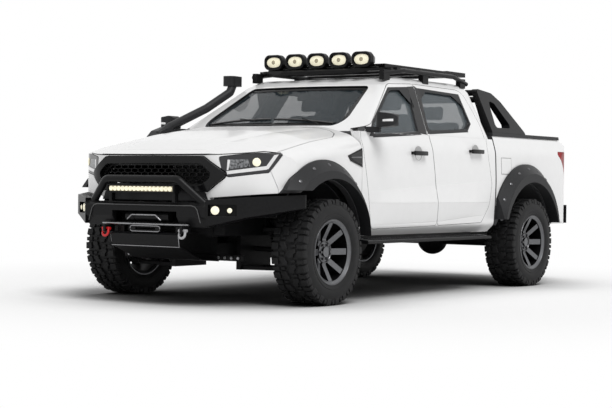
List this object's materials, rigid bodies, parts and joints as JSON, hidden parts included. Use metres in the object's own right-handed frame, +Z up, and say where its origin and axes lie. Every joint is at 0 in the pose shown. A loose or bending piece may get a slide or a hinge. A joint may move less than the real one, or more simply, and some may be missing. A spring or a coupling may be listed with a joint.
{
  "type": "lifted four-wheel-drive double-cab pickup truck with off-road accessories",
  "caption": "Lifted four-wheel-drive double-cab pickup with bull bar, roof rack, snorkel and sports bar; doors, bonnet and tailgate open, and it rolls and steers.",
  "frame": {"origin": "middle of the vehicle's length and width, on the ground", "axes": "+X forward, +Y to the vehicle's left, +Z up"},
  "size_m": [5.265, 2.2938, 1.966],
  "materials": {
    "white_paint": "gloss white",
    "black_coat": "satin black powder coat",
    "black_plastic": "textured black",
    "dark_frame": "satin black frame paint",
    "bare_casting": "bare casting",
    "tyre_rubber": "matt rubber",
    "wheel_paint": "satin dark grey",
    "clear_glass": "lightly tinted",
    "lamp_clear": "clear",
    "lamp_black": "gloss black",
    "lamp_red": "red lens",
    "shackle_red": "red paint",
    "exhaust_steel": "dull steel",
    "seat_cloth": "woven dark cloth",
    "inner_plastic": "grained dark grey"
  },
  "bodies": {
    "vehicle": {"cab": "white_paint", "fenders": "white_paint", "nose_panel": "white_paint", "head_lamps": "lamp_clear", "grille": "lamp_black", "flares": "black_plastic", "load_bed": "white_paint", "bed_liner": "black_plastic", "tail_lamps": "lamp_red", "rail_caps": "black_plastic", "rear_bumper": "black_coat", "sports_bar": "black_coat", "roof_rack": "black_coat", "roof_lamps": "black_coat", "snorkel": "black_plastic", "bull_bar": "black_coat", "bar_lamps": "black_coat", "winch": "black_coat", "shackles": "shackle_red", "skid_plate": "black_coat", "arch_liners": "black_plastic", "side_steps": "black_coat", "fixed_glass": "clear_glass", "cabin_floor": "inner_plastic", "dashboard": "inner_plastic", "seats": "seat_cloth", "rear_seat": "seat_cloth", "chassis": "dark_frame", "engine": "bare_casting", "gearbox": "bare_casting", "front_suspension": "dark_frame", "rear_axle": "dark_frame", "drive_shafts": "dark_frame", "exhaust": "exhaust_steel", "fuel_tank": "black_plastic", "spare_wheel": "tyre_rubber"},
    "bonnet": {"bonnet": "white_paint"},
    "tailgate": {"tailgate": "white_paint"},
    "steering_wheel": {"steering_wheel": "inner_plastic"},
    "knuckle_left": {"knuckle_left": "bare_casting"},
    "knuckle_right": {"knuckle_right": "bare_casting"},
    "door_left_front": {"door_left_front": "white_paint", "glass_front_left": "clear_glass", "mirror_left": "black_plastic"},
    "door_left_rear": {"door_left_rear": "white_paint", "glass_rear_left": "clear_glass"},
    "wheel_front_left": {"tyre_front_left": "tyre_rubber", "rim_front_left": "wheel_paint"},
    "wheel_rear_left": {"tyre_rear_left": "tyre_rubber", "rim_rear_left": "wheel_paint"},
    "door_right_front": {"door_right_front": "white_paint", "glass_front_right": "clear_glass", "mirror_right": "black_plastic"},
    "door_right_rear": {"door_right_rear": "white_paint", "glass_rear_right": "clear_glass"},
    "wheel_front_right": {"tyre_front_right": "tyre_rubber", "rim_front_right": "wheel_paint"},
    "wheel_rear_right": {"tyre_rear_right": "tyre_rubber", "rim_rear_right": "wheel_paint"}
  },
  "joints": [
    {"name": "steer_left", "type": "hinge", "parent": "vehicle", "child": "knuckle_left", "pos_m": [1.6625, 0.79, 0.389], "axis": [0, 0, 1], "range_deg": [-33, 33]},
    {"name": "steer_right", "type": "hinge", "parent": "vehicle", "child": "knuckle_right", "pos_m": [1.6625, -0.79, 0.389], "axis": [0, 0, 1], "range_deg": [-33, 33]},
    {"name": "steering_wheel_turn", "type": "hinge", "parent": "vehicle", "child": "steering_wheel", "pos_m": [0.6875, -0.37, 1.185], "axis": [-0.9063, 0, 0.4226], "range_deg": [-528, 528]},
    {"name": "spin_front_left", "type": "hinge", "parent": "knuckle_left", "child": "wheel_front_left", "pos_m": [1.6625, 0.888, 0.389], "axis": [0, 1, 0], "continuous": true},
    {"name": "spin_front_right", "type": "hinge", "parent": "knuckle_right", "child": "wheel_front_right", "pos_m": [1.6625, -0.888, 0.389], "axis": [0, 1, 0], "continuous": true},
    {"name": "spin_rear_left", "type": "hinge", "parent": "vehicle", "child": "wheel_rear_left", "pos_m": [-1.5575, 0.888, 0.389], "axis": [0, 1, 0], "continuous": true},
    {"name": "spin_rear_right", "type": "hinge", "parent": "vehicle", "child": "wheel_rear_right", "pos_m": [-1.5575, -0.888, 0.389], "axis": [0, 1, 0], "continuous": true},
    {"name": "door_left_front_hinge", "type": "hinge", "parent": "vehicle", "child": "door_left_front", "pos_m": [1.1485, 0.951, 0.9], "axis": [0, 0, -1], "range_deg": [0, 65]},
    {"name": "door_right_front_hinge", "type": "hinge", "parent": "vehicle", "child": "door_right_front", "pos_m": [1.1485, -0.951, 0.9], "axis": [0, 0, 1], "range_deg": [0, 65]},
    {"name": "door_left_rear_hinge", "type": "hinge", "parent": "vehicle", "child": "door_left_rear", "pos_m": [0.0985, 0.951, 0.9], "axis": [0, 0, -1], "range_deg": [0, 68]},
    {"name": "door_right_rear_hinge", "type": "hinge", "parent": "vehicle", "child": "door_right_rear", "pos_m": [0.0985, -0.951, 0.9], "axis": [0, 0, 1], "range_deg": [0, 68]},
    {"name": "bonnet_hinge", "type": "hinge", "parent": "vehicle", "child": "bonnet", "pos_m": [1.2385, 0, 1.342], "axis": [0, -1, 0], "range_deg": [0, 50]},
    {"name": "tailgate_hinge", "type": "hinge", "parent": "vehicle", "child": "tailgate", "pos_m": [-2.5035, 0, 0.749], "axis": [0, -1, 0], "range_deg": [0, 90]}
  ],
  "couplings": [
    {"joint": "steer_right", "follows": "steer_left", "ratio": 1},
    {"joint": "steering_wheel_turn", "follows": "steer_left", "ratio": 16}
  ]
}
